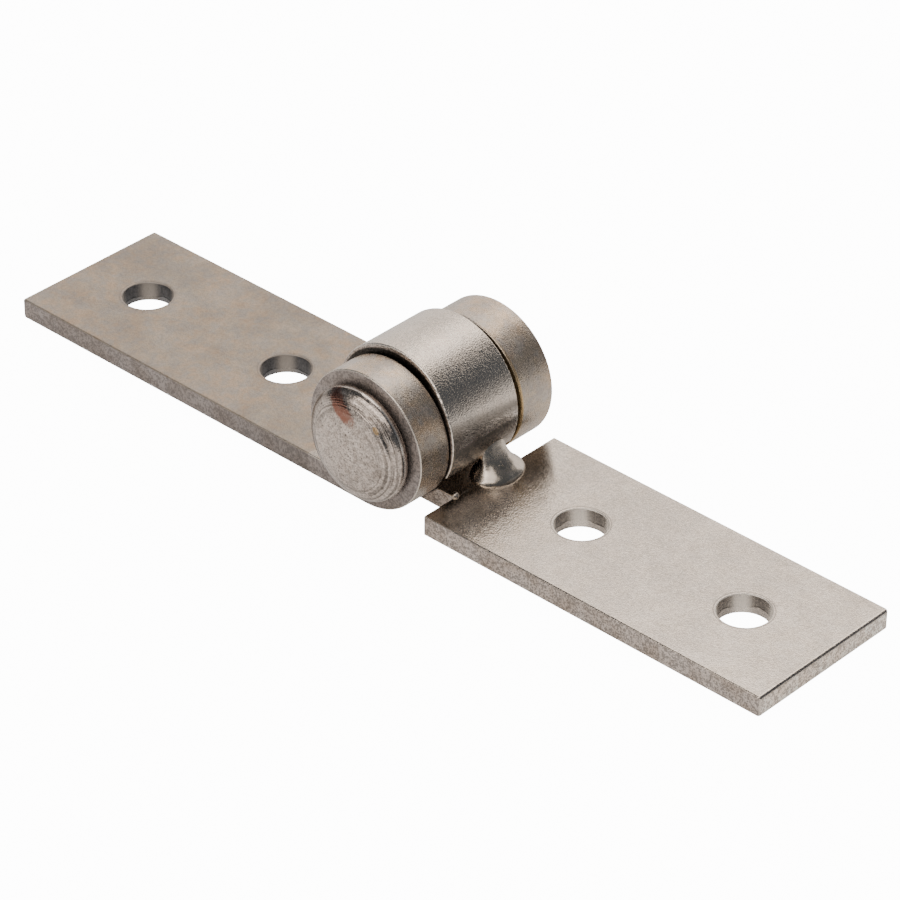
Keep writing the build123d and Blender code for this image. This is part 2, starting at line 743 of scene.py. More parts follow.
    def _wear_and_highlight_mask(self, at: Spot, edge: Value, near_hole: Value) -> Value:
        """Lighter edges, except at the leaf's end and round the screw holes: patchy wear on the
        flat leaf, and along the knuckles' whole edges wear with a painted highlight.

        Args:
            at: the shaded point.
            edge: 1 on rounded edges.
            near_hole: 1 at the holes.

        Returns:
            The mask.
        """
        patchy = at.graph.span(at.graph.noise(at.vector, 900.0, detail=2.0), 0.3, 0.6, 0.35, 0.8)
        end_round = at.graph.span(at.outward, 0.03, 0.12) * (1.0 - at.rolled)
        kept = 1.0 - at.graph.math("MAXIMUM", end_round, near_hole)
        return edge * at.graph.between(at.rolled, patchy, 0.95) * kept

    def _skin_colour(
        self, at: Spot, skin_vector: Value, mottle: dict[str, Value], grain: Value
    ) -> Value:
        """The rolled skin: two stains, broad blotches, fine grain, the knuckles painted lighter,
        and darkening that is painted dark reflection and heat scorching.

        Args:
            at: the shaded point.
            skin_vector: coordinates along the strip.
            mottle: the large and the small blotches.
            grain: fine grain.

        Returns:
            The skin's colour.
        """
        graph = at.graph
        stained = graph.blend(mottle["Large"] * self.stain_share, self.skin, self.stain)
        clouded = graph.blend(mottle["Small"] * self.stain_share, stained, self.cloud)
        cloudy = graph.noise(skin_vector, 150.0, detail=5.0, distortion=0.4, rough=0.6)
        broad = graph.span(cloudy, 0.32, 0.68, 1.0 - self.blotch, 1.0 + self.blotch)
        # the knuckles' skin painted lighter than the flat leaf's, a lit copy of the same steel
        broad = broad * graph.between(at.rolled, 1.0, self.knuckle_painted_light) * self._scorch_and_painted_dark_factor(at)
        return graph.shaded(graph.shaded(clouded, broad), graph.span(grain, 0.1, 0.9, 0.86, 1.12))

    def _side_colour(self, at: Spot, coarse: Value) -> Value:
        """The sheared sides: speckled and smudged, darker towards the knuckles, with painted shade
        deep in the gaps.

        Args:
            at: the shaded point.
            coarse: coarse grain.

        Returns:
            The sides' colour.
        """
        graph, speckle = at.graph, self.side_speckle
        shade = graph.span(coarse, 0.15, 0.85, 1.0 - speckle, 1.0 + speckle)
        # the outer leaf's sides darker towards the knuckles
        darkening = graph.span(abs(at.x), 36.0 * MM, 13.0 * MM, 1.0, 1.0 - self.side_darkening)
        # painted shade on the knuckles' end faces deep in the gaps
        shade = shade * graph.between(at.rolled, darkening, 1.0) * self._gap_shade(at)
        side = graph.blend(graph.span(at.outward, 0.6, 0.9), self.sheared, self.end_face)
        blotches = graph.noise(at.vector, 230.0, detail=5.0, rough=0.65)
        smudge = graph.span(blotches, 0.35, 0.65, 0.0, speckle * 2.2)
        side = graph.blend(smudge, side, graph.blend(1.0, side, self.darkening, how="MULTIPLY"))
        return graph.shaded(side, shade)

    def _wall(self, at: Spot, coarse: Value) -> tuple[Value, Value, Value]:
        """A punched wall: a burnished band with upright streaks above a rough fracture zone
        painted lighter for the floor light it reflects, with a painted contact shadow at its foot.

        Args:
            at: the shaded point.
            coarse: coarse grain.

        Returns:
            Colour, height and roughness of the wall.
        """
        graph, swing = at.graph, self.flare_swing
        streaks = graph.noise(graph.stretch(at.vector, (1.0, 1.0, 0.06)), 3200.0, detail=2.0)
        border = graph.noise(graph.stretch(at.vector, (1.0, 1.0, 0.0)), 420.0, detail=3.0)
        above = at.z - graph.span(border, 0.3, 0.7, self.flare - swing, self.flare + swing)
        burnish = graph.span(above, -0.06 * MM, 0.06 * MM)
        lip = graph.span(abs(above - 0.08 * MM), 0.16 * MM, 0.02 * MM)
        # painted contact shadow at the foot of the wall
        foot = graph.span(at.z, 0.42 * MM, 0.12 * MM)
        fine = graph.span(coarse, 0.1, 0.9, 0.82, 1.15)
        speckled = graph.span(streaks, 0.2, 0.8, 0.8, 1.2) * fine
        # the fracture zone painted lighter, for the floor light it reflects
        torn_painted_light = graph.span(coarse, 0.1, 0.9, 2.0, 2.35)
        shade = (graph.between(burnish, torn_painted_light, speckled) - lip * 0.5) * (1.0 - foot * 0.7)
        height = graph.between(burnish, coarse * 0.5, streaks * 0.25)
        return graph.shaded(self.wall, shade), height, graph.between(burnish, 0.6, 0.55)

    def _speckle(self, at: Spot) -> Value:
        """Orange-peel speckle that sparkles where the surface mirrors something dark."""
        return at.graph.span(at.graph.noise(at.vector, 4900.0, detail=2.0, rough=0.6), 0.32, 0.68)

    def _gap_shade(self, at: Spot) -> Value:
        """Painted shade on the knuckles' end faces deep in the two gaps: 1 outside, near 0 inside.

        Args:
            at: the shaded point.

        Returns:
            The factor for the sides' colour.
        """
        span = at.graph.span
        inside = span(abs(at.y - self.leaf_middle), self.gap_reach + 0.1 * MM, self.gap_reach)
        nearest, furthest = self.pin_height + 0.08 * MM, self.pin_height + 0.45 * MM
        reach = span(at.z, 11.0 * MM, 18.0 * MM, nearest, furthest)
        deep = span(at.radius - reach, 0.3 * MM, 0.0)
        return 1.0 - inside * deep * span(abs(at.ny), 0.5, 0.9) * at.rolled * 0.9

    def _scorch_and_painted_dark_factor(self, at: Spot) -> Value:
        """Darkening: a painted dark reflection in a band low on the roll, and heat scorching with
        a painted dark reflection on the leaf beside the bead.

        Args:
            at: the shaded point.

        Returns:
            The factor for the skin's colour, 1 where nothing is darkened.
        """
        graph, span, along = at.graph, at.graph.span, at.y
        # painted dark reflection: a band low on the roll
        ragged = (graph.noise(graph.vector(along, at.angle, 0.0), 260.0, detail=3.0) - 0.5) * 0.12
        turn = at.angle + ragged - (along + 5.0 * MM) * self.dark_band_lean
        band = span(turn, 1.12, 1.27) * span(turn, 1.62, 1.5, 0.1, 1.0)
        band = band * span(along, self.dark_band_back, self.dark_band_back - 0.4 * MM)
        # heat scorching with a painted dark reflection on the leaf beside the bead
        off_line = (at.x - 10.8 * MM) * 0.664 + (along - 11.5 * MM) * 0.748
        away = graph.length(at.x - self.bead_middle[0], along - self.bead_middle[1])
        beside = span(off_line, 1.2 * MM, 0.2 * MM) * span(away, 9.0 * MM, 3.0 * MM)
        return 1.0 - graph.between(at.rolled, beside, band) * self.scorch_and_painted_dark

    def _scrape_mark(self, at: Spot) -> Value:
        """A pale scrape along the side of the rear knuckle.

        Args:
            at: the shaded point.

        Returns:
            The mask.
        """
        graph, span, along = at.graph, at.graph.span, at.y
        uneven = graph.noise(graph.vector(along, at.arc, 0.0), 1400.0, detail=2.0)
        ragged = (uneven - 0.5) * (0.5 * MM)
        off = abs(at.arc + ragged - (self.scrape_arc - along * self.scrape_lean))
        start, end = self.scrape_start, self.scrape_end
        length = span(along, start, start + 0.5 * MM) * span(along, end, end - 0.5 * MM)
        return span(off, 0.34 * MM, 0.16 * MM) * length * at.rolled * self.scrape

    def _streaks(self, at: Spot) -> Value:
        """Rolling marks that run round the knuckle.

        Args:
            at: the shaded point.

        Returns:
            The marks' height.
        """
        graph, along, arc = at.graph, at.y, at.arc
        lines = graph.noise(graph.vector(along, arc * 0.035, 0.0), 3600.0, detail=3.0)
        patches = graph.noise(graph.vector(along, arc, 0.0), 240.0, detail=2.0)
        marks = graph.span(lines, 0.3, 0.75) * graph.span(patches, 0.35, 0.65)
        return marks * at.rolled * self.streaks

    def _heat_and_glint_mask(self, at: Spot) -> Value:
        """A thin straw-coloured line on the knuckle's edge at the gap that faces the weld: heat
        tinting and a painted golden glint.

        Args:
            at: the shaded point.

        Returns:
            The mask.
        """
        span, start, end = at.graph.span, self.tint_start, self.tint_end
        band = span(at.y, start - 0.04 * MM, start + 0.04 * MM) * span(at.y, end + 0.12 * MM, end)
        low = span(at.angle, 0.35, 1.5, 0.25, 1.0)
        return band * low * span(at.angle, 0.1, 0.3) * at.rolled * 0.9


@dataclass(frozen=True)
class HeadPatch:
    """An irregular oval patch on the pin's head, placed from its axis in millimetres."""

    middle: Pair
    size: Pair
    turn: float

    def mask(self, graph: Graph, x: Value, rise: Value) -> Value:
        """Where the patch lies.

        Args:
            graph: the material's graph.
            x: across the head.
            rise: up from the pin's axis.

        Returns:
            1 inside the patch and 0 outside.
        """
        c, s = math.cos(math.radians(self.turn)), math.sin(math.radians(self.turn))
        dx, dz = x - self.middle[0] * MM, rise - self.middle[1] * MM
        u = (dx * c + dz * s) / (self.size[0] * MM)
        v = (dz * c - dx * s) / (self.size[1] * MM)
        ragged = graph.noise(graph.vector(x, rise, 0.0), 600.0, detail=4.0, rough=0.6)
        return graph.span(graph.length(u, v) + (ragged - 0.5) * 1.6, 1.2, 0.8)


@dataclass(frozen=True)
class TurnedFinish:
    """Turned steel of the pin: fine rings, a hammered middle with pits, a stain and a spot, with
    painted shade on the head's left rim and a painted highlight round its rim edge.
    """

    name: str = "turned_pin"
    metal: Colour = (0.585, 0.52, 0.47)
    dull: Colour = (0.42, 0.355, 0.31)
    left_rim_shade: Colour = (0.2, 0.17, 0.15)
    pit: Colour = (0.08, 0.07, 0.065)
    stain: Colour = (0.24, 0.1, 0.07)
    straw: Colour = (0.5, 0.33, 0.15)
    rim_highlight: Colour = (0.95, 0.9, 0.84)
    stain_patch: HeadPatch = HeadPatch((-1.45, 5.8), (1.1, 2.7), 63.0)
    straw_patch: HeadPatch = HeadPatch((4.6, 4.75), (0.22, 0.6), 46.0)
    roughness: float = 0.27
    pin_height: float = 9.9 * MM
    head_face: float = -11.5 * MM
    rim_edge: float = -11.95 * MM

    def build(self, effects: Effects) -> Material:
        """Makes the material.

        Args:
            effects: the shared surface effects.

        Returns:
            The finished material.
        """
        material, graph, shader = new_material(self.name)
        vector = graph.node("TexCoord").outputs["Object"]
        x, y, z = graph.parts(vector)
        ring = graph.use(effects.around_pin, Vector=vector, Height=self.pin_height)
        radius, rise = ring["Radius"], z - self.pin_height
        grain = graph.use(effects.grain, Vector=vector, Scale=4200.0, Contrast=1.8)["Value"]
        mottle = graph.use(effects.mottle, Vector=vector, Scale=380.0)
        pits = graph.use(effects.pits, Vector=vector, Scale=1600.0, Cover=0.52)["Mask"]
        across = radius + y + graph.noise(vector, 300.0, detail=2.0) * (0.3 * MM)
        turned = graph.noise(graph.vector(across, ring["Angle"] * 0.0004, 0.0), 1900.0, detail=2.0)
        outer = graph.span(radius, 4.2 * MM, 6.2 * MM)
        pitted = pits * (1.0 - outer)
        on_head = graph.span(y, self.head_face + 0.3 * MM, self.head_face)

        colour = graph.blend(mottle["Small"] * 0.7, self.metal, self.dull)
        colour = graph.shaded(colour, graph.span(grain, 0.1, 0.9, 0.66, 1.2))
        ringed = graph.shaded(colour, graph.span(turned, 0.36, 0.6, 0.48, 1.12))
        # painted shade on the head's left rim, for the darker reflection there
        left_rim_shade = graph.span(radius, 6.0 * MM, 7.8 * MM) * graph.span(x, -1.5 * MM, -4.0 * MM)
        stained = self.stain_patch.mask(graph, x, rise) * on_head
        straw = self.straw_patch.mask(graph, x, rise) * on_head
        # painted highlight: a pale line round the head's rim edge
        rim_highlight_line = graph.span(abs(y - self.rim_edge), 0.24 * MM, 0.14 * MM)
        for amount, over in (
            (outer, ringed),
            (left_rim_shade * 0.66, self.left_rim_shade),
            (pitted * 0.85, self.pit),
            (stained * graph.span(mottle["Small"], 0.0, 1.0, 0.95, 0.8), self.stain),
            (straw * 0.8, self.straw),
            (rim_highlight_line * graph.span(radius, 7.7 * MM, 7.9 * MM) * 0.9, self.rim_highlight),
        ):
            colour = graph.blend(amount, colour, over)
        graph.feed(shader.inputs["Base Color"], colour)
        shader.inputs["Metallic"].default_value = 1.0
        rough = mottle["Large"] * 0.1 + grain * 0.06 + (self.roughness - 0.08)
        graph.feed(shader.inputs["Roughness"], rough)
        layers = [
            (graph.noise(vector, 420.0, detail=3.0), 45e-6),
            (turned * outer, 24e-6),
            (grain, 7e-6),
            (pitted * -1.0, 20e-6),
        ]
        graph.feed(shader.inputs["Normal"], add_bump(graph, layers))
        return material


@dataclass(frozen=True)
class WeldFinish:
    """Melted bead: glossy, with scale specks and a darker, heat-stained foot."""

    name: str = "melted_bead"
    metal: Colour = (0.66, 0.6, 0.53)
    smoke: Colour = (0.42, 0.36, 0.29)
    speck: Colour = (0.03, 0.027, 0.024)
    roughness: float = 0.25
    speck_middle: Colour = (11.0 * MM, 2.6 * MM, 5.4 * MM)
    speck_reach: float = 1.1 * MM

    def build(self, effects: Effects) -> Material:
        """Makes the material.

        Args:
            effects: the shared surface effects.

        Returns:
            The finished material.
        """
        material, graph, shader = new_material(self.name)
        vector = graph.node("TexCoord").outputs["Object"]
        place = graph.parts(vector)
        mottle = graph.use(effects.mottle, Vector=vector, Scale=420.0)
        grain = graph.use(effects.grain, Vector=vector, Scale=4000.0, Contrast=1.4)["Value"]
        pits = graph.use(effects.pits, Vector=vector, Scale=2100.0, Cover=0.75)["Mask"]
        specks = pits * self._speck_field(graph, place)
        cloud = graph.span(graph.noise(vector, 300.0, detail=4.0), 0.3, 0.7)
        smoked = cloud * graph.span(place[2], 3.1 * MM, 3.6 * MM, 0.9, 0.55)
        colour = graph.blend(smoked, self.metal, self.smoke)
        graph.feed(shader.inputs["Base Color"], graph.blend(specks, colour, self.speck))
        shader.inputs["Metallic"].default_value = 1.0
        rough = mottle["Small"] * 0.08 + specks * 0.3 + (self.roughness - 0.03)
        graph.feed(shader.inputs["Roughness"], rough)
        layers = [(graph.noise(vector, 500.0, detail=2.0), 9e-6), (grain, 4e-6), (specks, 40e-6)]
        graph.feed(shader.inputs["Normal"], add_bump(graph, layers))
        return material

    def _speck_field(self, graph: Graph, place: Sequence[Value]) -> Value:
        """Where the scale specks gather, on the bead's shoulder.

        Args:
            graph: the material's graph.
            place: object coordinates.

        Returns:
            The mask.
        """
        total = 0.0
        for value, middle in zip(place, self.speck_middle):
            off = (value - middle) / self.speck_reach
            total = total + off * off
        return graph.span(total, 1.5, 0.6)


@dataclass(frozen=True)
class FloorFinish:
    """Plain pale paper."""

    name: str = "pale_paper"
    shade: float = 0.86
    glow: float = 13.0
    fill: float = 0.33
    warmth: Colour = (1.0, 0.96, 0.91)

    def build(self) -> Material:
        """Makes the material: a pale glow to the part, and evenly pale to the camera.

        Returns:
            The finished material.
        """
        material = bpy.data.materials.new(self.name)
        material.use_nodes = True
        graph = Graph(material.node_tree)
        matt = graph.node("BsdfDiffuse")
        matt.inputs["Color"].default_value = (self.shade, self.shade, self.shade, 1.0)
        pale = graph.node("Emission")
        seen = graph.node("LightPath").outputs["Is Camera Ray"]
        graph.feed(pale.inputs["Color"], graph.blend(seen, self.warmth, (1.0, 1.0, 1.0)))
        graph.feed(pale.inputs["Strength"], graph.between(seen, self.fill, self.glow))
        both = graph.node("AddShader")
        graph.feed(both.inputs[0], matt.outputs[0])
        graph.feed(both.inputs[1], pale.outputs[0])
        graph.feed(graph.node("OutputMaterial").inputs["Surface"], both.outputs[0])
        return material


# ---------------------------------------------------------------- modelling by hand


def only(obj: Piece) -> None:
    """Makes obj the active and only selected object.

    Args:
        obj: the object.
    """
    bpy.ops.object.select_all(action="DESELECT")
    obj.select_set(True)
    bpy.context.view_layer.objects.active = obj


@contextmanager
def editing(obj: Piece, selected: bool = True) -> Iterator[None]:
    """Edit mode on one object.

    Args:
        obj: the object.
        selected: whether all of it starts selected.

    Yields:
        Nothing; operators in the block act on the object's mesh.
    """
    only(obj)
    bpy.ops.object.mode_set(mode="EDIT")
    bpy.ops.mesh.select_all(action="SELECT" if selected else "DESELECT")
    yield
    bpy.ops.object.mode_set(mode="OBJECT")


def settle(obj: Piece, name: str, angle: float) -> Piece:
    """Closes seams, turns faces outwards, smooths and puts the object's place into its mesh.

    Args:
        obj: the finished piece.
        name: its name.
        angle: edges sharper than this many degrees stay sharp.

    Returns:
        The same object.
    """
    with editing(obj):
        bpy.ops.mesh.remove_doubles(threshold=0.004 * MM)
        bpy.ops.mesh.normals_make_consistent(inside=False)
    only(obj)
    bpy.ops.object.transform_apply(location=True, rotation=True, scale=True)
    bpy.ops.object.shade_smooth_by_angle(angle=math.radians(angle))
    obj.name = name
    return obj


def apply_modifier(obj: Piece, kind: str, **settings: object) -> None:
    """Adds one modifier and applies it.

    Args:
        obj: the piece.
        kind: Blender's name of the modifier type.
        settings: its properties.
    """
    only(obj)
    modifier = obj.modifiers.new(kind.lower(), kind)
    for name, value in settings.items():
        setattr(modifier, name, value)
    bpy.ops.object.modifier_apply(modifier=modifier.name)


def push(obj: Piece, amount: Callable[[Vector], float], direction: str, depth: float) -> None:
    """Moves the surface by a weight at each point.

    Args:
        obj: the piece.
        amount: gives the share, from 0 to 1, that a point moves.
        direction: axis, or NORMAL.
        depth: how far a share of 1 moves, in metres.
    """
    group = obj.vertex_groups.new(name="push")
    for vertex in obj.data.vertices:
        share = amount(vertex.co)
        if share > 0:
            group.add([vertex.index], min(share, 1.0), "REPLACE")
    apply_modifier(
        obj,
        "DISPLACE",
        vertex_group=group.name,
        direction=direction,
        strength=depth,
        mid_level=0.0,
        space="LOCAL",
    )
    obj.vertex_groups.clear()


def ease(value: float, low: float, high: float) -> float:
    """Smooth step from 0 at low to 1 at high."""
    t = min(max((value - low) / (high - low), 0.0), 1.0)
    return t * t * (3.0 - 2.0 * t)


def swell(point: Vector) -> float:
    """Smooth uneven noise between 0 and 1."""
    return 0.5 + 0.5 * noise.noise(point)


@dataclass
class HingePin:
    """The riveted pin: turned domed head, shank and hammered rivet end."""

    pin_height: float = 9.9
    leaf_front: float = -10.85
    leaf_back: float = 14.15
    shank_radius: float = 6.85
    head_radius: float = 8.1
    head_standoff: float = 0.45
    rim_height: float = 0.65
    dome_height: float = 3.0
    dome_fullness: float = 0.55
    rim_rounding: float = 0.12
    rivet_radius: float = 7.75
    rivet_height: float = 0.8
    rivet_rounding: float = 0.5
    groove_pitch: float = 0.43
    groove_depth: float = 0.013
    groove_reach: float = 4.4
    steps: int = 256
    dome_steps: int = 180
    ridge_middle: tuple[float, float] = (0.1, -0.1)
    ridge_radius: float = 6.75
    ridge_drop: float = 0.15
    hammer_depth: float = 0.12
    dent_depth: float = 0.09
    beat_depth: float = 0.15
    seed: int = 7

    def build(self, finish: TurnedFinish, effects: Effects) -> Piece:
        """Turns the pin, works its head and its rivet end, and dresses it.

        Args:
            finish: the pin's finish.
            effects: the shared surface effects.

        Returns:
            The finished piece.
        """
        pin = self._turn(self._profile())
        self._work_head(pin)
        self._work_rivet(pin)
        settle(pin, "turned_pin", 50.0)
        pin.data.materials.append(finish.build(effects))
        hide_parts("hinge_pin")
        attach(pin, Body.OUTER.value)
        return pin

    def _dome(self, share: float) -> tuple[float, float]:
        """A point of the dome's section, from its rim (0) to its crown (1).

        Args:
            share: how far along the section.

        Returns:
            Place along the pin and radius, in millimetres.
        """
        rim = self.leaf_front - self.head_standoff - self.rim_height
        crown = rim - self.dome_height
        near = rim - self.dome_height * self.dome_fullness
        rest = 1 - share
        a, b, c, d = rest**3, 3 * share * rest**2, 3 * share**2 * rest, share**3
        along = a * rim + b * near + (c + d) * crown
        radius = (a + b) * self.head_radius + c * self.head_radius * self.dome_fullness
        return along, radius

    def _groove(self, along: float, radius: float) -> float:
        """Depth of the turning grooves at a point of the dome's section.

        Args:
            along: place along the pin.
            radius: distance from its axis.

        Returns:
            The depth, in millimetres.
        """
        rim = self.leaf_front - self.head_standoff - self.rim_height
        away = self.head_radius - radius + rim - along
        fade = ease(away, 0.15, 0.5) * ease(self.groove_reach - away, 0.0, 1.2)
        wave = 0.5 - 0.5 * math.cos(2 * math.pi * away / self.groove_pitch)
        return self.groove_depth * fade * wave

    def _profile(self) -> list[Pair]:
        """The pin's half section from the rivet's middle round to the head's crown.

        Returns:
            Places along the pin and radii, in millimetres.
        """
        face = self.leaf_back + self.rivet_height
        points: list[Pair] = [(face, 0.0)]
        flat = self.rivet_radius - self.rivet_rounding
        points += [(face, flat * i / 12) for i in range(1, 13)]
        for i in range(1, 9):
            turn = math.pi / 2 * i / 8
            in_from_face = self.rivet_rounding * (1 - math.cos(turn))
            points.append((face - in_from_face, flat + self.rivet_rounding * math.sin(turn)))
        points += [(self.leaf_back, self.rivet_radius), (self.leaf_back, self.shank_radius)]
        back = self.leaf_front - self.head_standoff
        points += [
            (back + (self.leaf_back - back) * (1 - i / 6), self.shank_radius) for i in range(1, 7)
        ]
        points += [(back, self.head_radius - self.rim_rounding)]
        points += [(back - self.rim_rounding, self.head_radius)]
        for i in range(self.dome_steps):
            along, radius = self._dome(i / self.dome_steps)
            points.append((along + self._groove(along, radius), radius))
        points.append((self._dome(1.0)[0], 0.0))
        return points

    def _turn(self, profile: list[Pair]) -> Piece:
        """Draws the half section point by point and spins it about the pin's axis.

        Args:
            profile: places along the pin and radii, in millimetres.

        Returns:
            The turned solid.
        """
        bpy.ops.object.select_all(action="DESELECT")
        start = (profile[0][1] * MM, profile[0][0] * MM, self.pin_height * MM)
        bpy.ops.mesh.primitive_plane_add(size=1.0 * MM, location=(0.0, 0.0, 0.0))
        pin = bpy.context.object
        with editing(pin):
            bpy.ops.mesh.merge(type="CENTER")
            bpy.ops.transform.translate(value=start)
            for (y0, r0), (y1, r1) in zip(profile, profile[1:]):
                step = ((r1 - r0) * MM, (y1 - y0) * MM, 0.0)
                bpy.ops.mesh.extrude_region_move(TRANSFORM_OT_translate={"value": step})
            bpy.ops.mesh.select_all(action="SELECT")
            bpy.ops.mesh.spin(
                steps=self.steps,
                angle=2 * math.pi,
                center=(0.0, 0.0, self.pin_height * MM),
                axis=(0.0, 1.0, 0.0),
            )
            bpy.ops.mesh.select_all(action="SELECT")
            bpy.ops.mesh.remove_doubles(threshold=0.002 * MM)
            bpy.ops.mesh.normals_make_consistent(inside=False)
        return pin

    def _from_axis(self, point: Vector) -> tuple[float, float]:
        """Where a point lies on the head's face, from the axis, in millimetres."""
        return point.x / MM, point.z / MM - self.pin_height

    def _work_head(self, pin: Piece) -> None:
        """Sets down the flank outside the fold ridge, and hammers dents into the middle.

        Args:
            pin: the turned pin.
        """
        rim = self.leaf_front - self.head_standoff - self.rim_height
        rng = random.Random(self.seed)
        spots = ((-1.1, 1.2), (1.95, -2.1), (-5.4, 4.2), (0.2, -0.6))
        dents = []
        for sx, sz in spots:
            for _ in range(9):
                place = (sx + rng.gauss(0, 0.9), sz + rng.gauss(0, 0.9))
                dents.append((*place, rng.uniform(0.12, 0.3), rng.uniform(0.3, 1.0)))

        def flank(point: Vector) -> float:
            """Share of the drop outside the ridge.

            Args:
                point: a point of the surface.

            Returns:
                The share, from 0 to 1.
            """
            if point.y / MM > rim:
                return 0.0
            x, z = self._from_axis(point)
            off = math.hypot(
                x - self.ridge_middle[0], z - self.ridge_middle[1]
            ) - self.ridge_radius
            off += 0.14 * noise.noise(Vector((x, z, 3.0)) * 0.9)
            inside = ease(self.head_radius - math.hypot(x, z), 0.0, 0.9)
            turn = math.degrees(math.atan2(x, z))
            return ease(off, 0.0, 0.25) * inside * ease(turn, -8.0, 12.0) * ease(turn, 110.0, 74.0)

        def dented(point: Vector) -> float:
            """Share of a dent's depth.

            Args:
                point: a point of the surface.

            Returns:
                The share, 0 outside the dents.
            """
            if point.y / MM > rim - 1.0:
                return 0.0
            x, z = self._from_axis(point)
            return sum(
                d * math.exp(-((x - a) ** 2 + (z - b) ** 2) / (r * r)) for a, b, r, d in dents
            )

        def hammered(point: Vector) -> float:
            """Broad shallow hammer marks on the crown.

            Args:
                point: a point of the surface.

            Returns:
                The share, from 0 to 1.
            """
            if point.y / MM > rim - 0.6:
                return 0.0
            x, z = self._from_axis(point)
            return swell(Vector((x, z, 9.0)) * 0.45) * ease(6.3 - math.hypot(x, z), 0.0, 2.5)

        push(pin, flank, "Y", self.ridge_drop * MM)
        push(pin, hammered, "Y", self.hammer_depth * MM)
        push(pin, dented, "Y", self.dent_depth * MM)

    def _work_rivet(self, pin: Piece) -> None:
        """Hammers the flattened rivet end, always inwards.

        Args:
            pin: the turned pin.
        """
        face = self.leaf_back + self.rivet_height

        def beaten(point: Vector) -> float:
            """Share of the hammer marks' depth.

            Args:
                point: a point of the surface.

            Returns:
                The share, from 0 to 1.
            """
            if point.y / MM < face - 0.3:
                return 0.0
            x, z = self._from_axis(point)
            return swell(Vector((x, z, 21.0)) * 0.55)

        push(pin, beaten, "Y", -self.beat_depth * MM)


FINE_START = Vector((4.0, 1.0, 2.0))


@dataclass
class WeldBead:
    """The weld between the centre knuckle's free end and its leaf, and one ball of spatter."""

    leaf_top: float = 3.0
    rings: Sequence[tuple[float, float, float, float, float, float]] = (
        (10.25, 3.2, -0.3, 3.1, 4.1, 0.0),
        (10.25, 3.2, 0.0, 3.1, 4.1, 0.0),
        (10.25, 3.2, 0.3, 3.02, 4.0, 0.0),
        (10.22, 3.2, 0.6, 2.82, 3.75, 0.0),
        (10.18, 3.18, 0.9, 2.52, 3.42, 0.0),
        (10.12, 3.14, 1.2, 2.22, 3.1, 0.0),
        (10.02, 3.1, 1.55, 1.93, 2.8, 0.0),
        (9.92, 3.05, 1.95, 1.66, 2.52, 0.0),
        (9.82, 3.0, 2.4, 1.42, 2.3, -3.0),
        (9.74, 2.96, 2.85, 1.22, 2.14, -4.0),
        (9.68, 2.95, 3.35, 1.0, 2.0, -3.0),
        (9.68, 3.0, 3.9, 0.7, 1.8, 0.0),
        (9.72, 3.0, 4.4, 0.42, 1.5, 0.0),
        (9.75, 3.05, 4.8, 0.16, 1.0, 0.0),
    )
    segments: int = 64
    voxel: float = 0.13
    ball: tuple[float, float, float] = (10.15, -4.7, 3.0)
    ball_radius: float = 0.42
    broad_swell: float = 0.08
    fine_swell: float = 0.03
    ball_swell: float = 0.18
    sink: float = 0.12

    def build(self, finish: WeldFinish, effects: Effects) -> list[Piece]:
        """Models and dresses the bead and the spatter.

        Args:
            finish: the weld's finish.
            effects: the shared surface effects.

        Returns:
            The two pieces.
        """
        material = finish.build(effects)
        bead = self._bead()
        ball = self._ball()
        for piece in (bead, ball):
            piece.data.materials.append(material)
            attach(piece, Body.CENTRE.value)
        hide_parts("knuckle_weld")
        return [bead, ball]

    def _bead(self) -> Piece:
        """Pulls the bead up ring by ring, then melts it smooth.

        Returns:
            The bead.
        """
        x, y, z, a, b, _ = self.rings[0]
        bpy.ops.object.select_all(action="DESELECT")
        foot = (x * MM, y * MM, (self.leaf_top + z) * MM)
        bpy.ops.mesh.primitive_circle_add(
            vertices=self.segments, radius=1.0 * MM, fill_type="NGON", location=foot
        )
        bead = bpy.context.object
        only(bead)
        bpy.ops.object.transform_apply(location=True)
        with editing(bead):
            bpy.ops.transform.resize(value=(a, b, 1.0), center_override=foot)
            for ring, above in zip(self.rings, self.rings[1:]):
                (x0, y0, z0, a0, b0, t0), (x1, y1, z1, a1, b1, t1) = ring, above
                centre = (x1 * MM, y1 * MM, (self.leaf_top + z1) * MM)
                rise = ((x1 - x0) * MM, (y1 - y0) * MM, (z1 - z0) * MM)
                bpy.ops.mesh.extrude_region_move(TRANSFORM_OT_translate={"value": rise})
                bpy.ops.transform.resize(value=(a1 / a0, b1 / b0, 1.0), center_override=centre)
                if t1 != t0:
                    bpy.ops.transform.rotate(
                        value=math.radians(t1 - t0), orient_axis="Y", center_override=centre
                    )
            bpy.ops.mesh.select_all(action="SELECT")
            bpy.ops.mesh.normals_make_consistent(inside=False)
        apply_modifier(bead, "REMESH", mode="VOXEL", voxel_size=self.voxel * MM)
        apply_modifier(bead, "SMOOTH", factor=0.5, iterations=6)
        push(bead, lambda p: swell(p / MM * 0.6), "NORMAL", self.broad_swell * MM)
        push(bead, lambda p: swell(p / MM * 1.5 + FINE_START), "NORMAL", self.fine_swell * MM)
        with editing(bead):
            bpy.ops.mesh.bisect(
                plane_co=(0.0, 0.0, (self.leaf_top - self.sink) * MM),
                plane_no=(0.0, 0.0, 1.0),
                clear_inner=True,
                use_fill=True,
            )
        return settle(bead, "weld_bead", 60.0)

    def _ball(self) -> Piece:
        """One small ball of spatter at the notch's corner.

        Returns:
            The ball.
        """
        bpy.ops.object.select_all(action="DESELECT")
        bpy.ops.mesh.primitive_ico_sphere_add(
            subdivisions=4, radius=self.ball_radius * MM, location=tuple(v * MM for v in self.ball)
        )
        ball = bpy.context.object
        only(ball)
        bpy.ops.object.transform_apply(location=True)
        push(ball, lambda p: swell(p / MM * 1.7), "NORMAL", self.ball_swell * MM)
        return settle(ball, "weld_spatter", 80.0)


